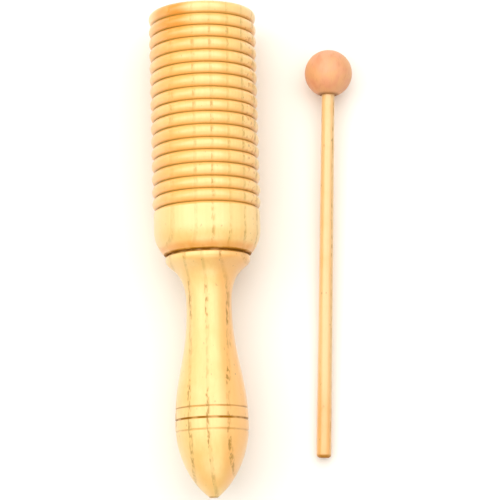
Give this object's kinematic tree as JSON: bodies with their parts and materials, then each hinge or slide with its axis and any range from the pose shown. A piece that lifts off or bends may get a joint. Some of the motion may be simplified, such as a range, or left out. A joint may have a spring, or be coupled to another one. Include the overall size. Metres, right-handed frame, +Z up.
{
  "type": "guiro with mallet",
  "caption": "Turned wooden guiro: a ribbed barrel, bored hollow from its mouth, on a turned handle, with a loose ball-headed mallet to scrape and tap it.",
  "frame": {"origin": "centre of the footprint of guiro and mallet together, on the surface that they lie on", "axes": "+Y along the guiro towards the barrel's mouth, +X from the guiro towards the mallet, +Z up"},
  "size_m": [0.1064, 0.2532, 0.056],
  "materials": {
    "barrel_wood": "clear satin lacquer over pale ash",
    "handle_wood": "clear satin lacquer over pale ash",
    "stick_wood": "smooth dowel, thinly lacquered",
    "head_wood": "smooth pinkish beech, thinly lacquered"
  },
  "bodies": {
    "guiro": {"resonator_barrel": "barrel_wood", "handle": "handle_wood"},
    "mallet": {"mallet_stick": "stick_wood", "mallet_head": "head_wood"}
  },
  "joints": [
    {"name": "mallet_lift", "type": "slide", "parent": "guiro", "child": "mallet", "axis": [0, 0, 1], "range_m": [0, 0.06]}
  ]
}
